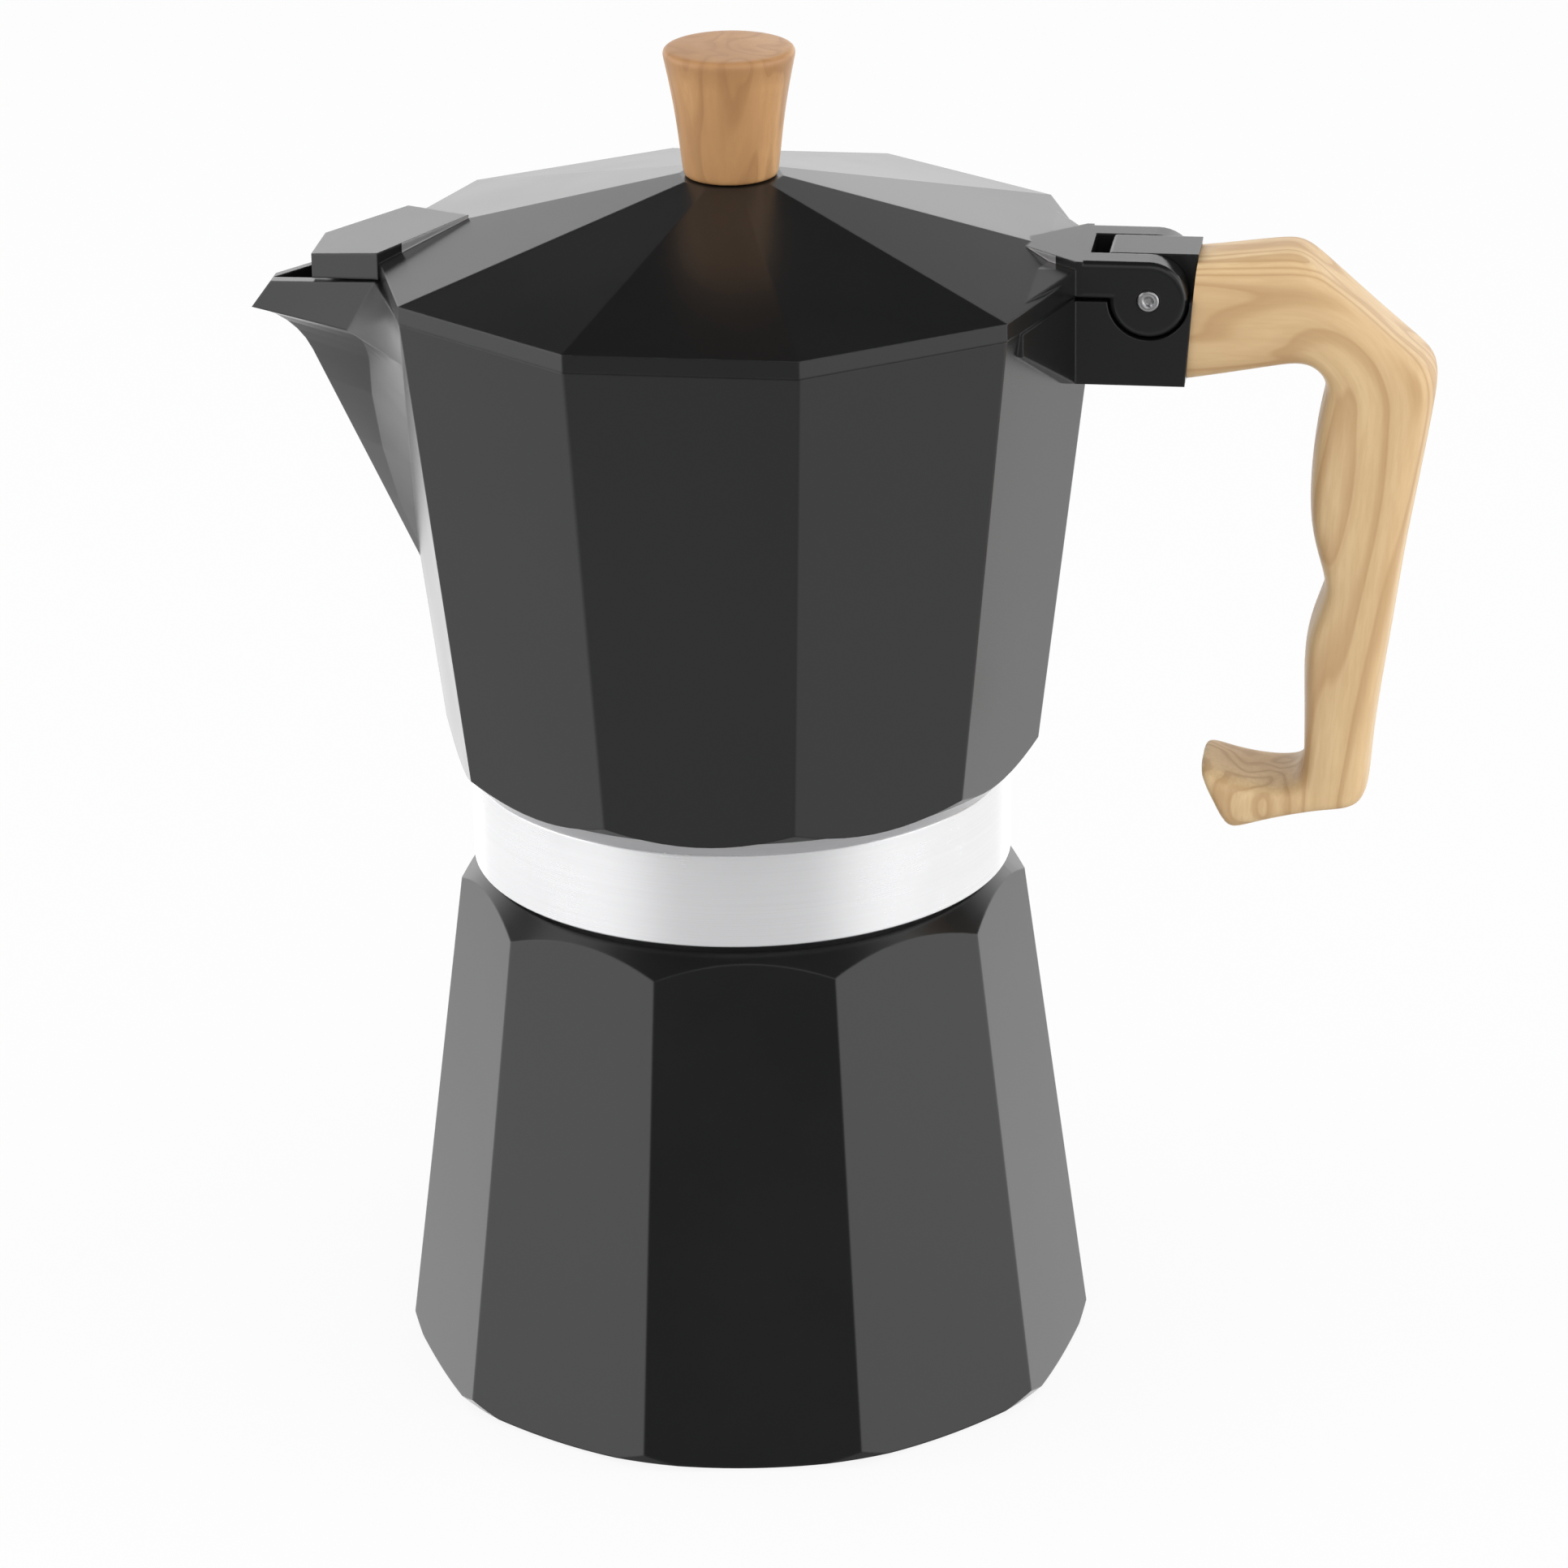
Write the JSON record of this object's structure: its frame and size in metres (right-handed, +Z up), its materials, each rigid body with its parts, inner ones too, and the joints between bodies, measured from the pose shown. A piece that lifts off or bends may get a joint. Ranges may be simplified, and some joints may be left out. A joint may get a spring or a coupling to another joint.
{
  "type": "moka pot",
  "caption": "Faceted stove-top espresso pot with screwed boiler, coffee funnel, hinged lid, pouring spout, wooden knob and wooden side handle.",
  "frame": {"origin": "pot axis at the base plane, where the boiler stands", "axes": "+Z up along the pot axis, +X towards the handle, -X towards the spout, +Y to the back as seen with the handle on the right"},
  "size_m": [0.1741, 0.1035, 0.2038],
  "materials": {
    "paint": "satin charcoal paint on cast aluminium",
    "aluminium": "bare, satin",
    "bright_band": "bright brushed",
    "steel": "plain steel",
    "brass": "turned brass",
    "seal_rubber": "off-white silicone rubber",
    "handle_wood": "oiled light wood, straight grain",
    "knob_wood": "oiled wood, darker figure"
  },
  "bodies": {
    "boiler": {"boiler": "paint", "valve_washer": "steel", "valve_body": "brass", "valve_spring": "steel", "valve_cap": "brass"},
    "valve_pin": {"valve_plunger": "steel"},
    "funnel": {"funnel": "aluminium", "basket_sieve": "aluminium"},
    "seal_stack": {"gasket": "seal_rubber", "filter_plate": "aluminium"},
    "vessel": {"vessel": "paint", "riser_column": "aluminium", "neck_band": "bright_band", "handle": "handle_wood", "handle_screw": "steel", "hinge_pin": "steel"},
    "lid": {"lid": "paint", "knob": "knob_wood", "knob_insert": "brass", "knob_washer": "steel", "knob_screw": "steel"}
  },
  "joints": [
    {"name": "funnel_lift", "type": "slide", "parent": "boiler", "child": "funnel", "axis": [0, 0, 1], "range_m": [0, 0.09]},
    {"name": "vessel_rise", "type": "slide", "parent": "funnel", "child": "seal_stack", "axis": [0, 0, 1], "range_m": [0, 0.0095]},
    {"name": "vessel_turn", "type": "hinge", "parent": "seal_stack", "child": "vessel", "pos_m": [0, 0, 0], "axis": [0, 0, 1], "range_deg": [0, 1080]},
    {"name": "lid_open", "type": "hinge", "parent": "vessel", "child": "lid", "pos_m": [0.0613, 0, 0.1702], "axis": [0, 1, 0], "range_deg": [0, 100]},
    {"name": "valve_pop", "type": "slide", "parent": "boiler", "child": "valve_pin", "axis": [-0.1437, 0.9818, 0.1242], "range_m": [0, 0.0012], "stiffness_N_per_m": 1500, "springref_m": -0.003, "deforming": ["valve_spring"]}
  ],
  "couplings": [
    {"joint": "vessel_rise", "follows": "vessel_turn", "m_per_rad": 0.00047746}
  ]
}
